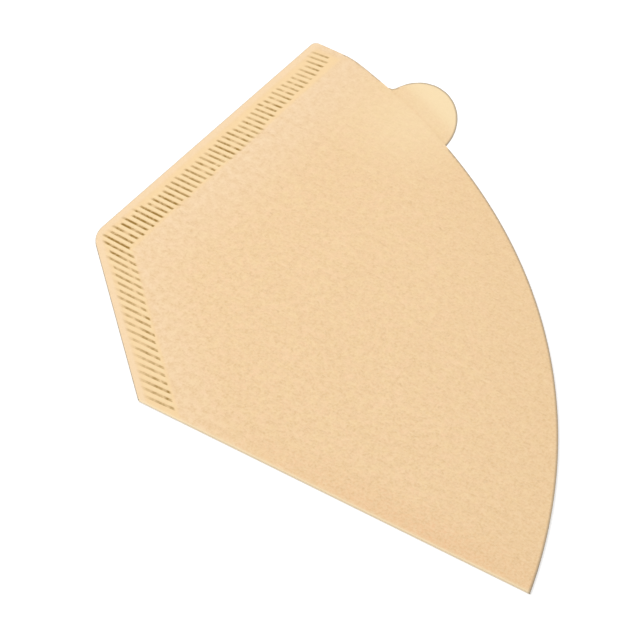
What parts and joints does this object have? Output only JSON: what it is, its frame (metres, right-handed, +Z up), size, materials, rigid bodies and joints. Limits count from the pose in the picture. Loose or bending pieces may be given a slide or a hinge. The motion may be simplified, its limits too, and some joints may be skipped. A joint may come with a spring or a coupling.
{
  "type": "cone coffee filter",
  "caption": "Flat-folded paper cone filter for pour-over coffee, a fan-shaped pocket with crimped side and bottom seams, an open curved mouth and a rounded pull tab.",
  "frame": {"origin": "middle of the filter's outline, on the surface that it lies on", "axes": "+X along the cone's axis from the bottom seam towards the mouth, +Y across towards the side seam, with the fold edge on the -Y side, +Z up out of the front ply"},
  "size_m": [0.1128, 0.2029, 0.0014],
  "materials": {
    "filter_paper": "matte unbleached filter paper"
  },
  "bodies": {
    "root": {"filter_paper": "filter_paper"}
  },
  "joints": []
}
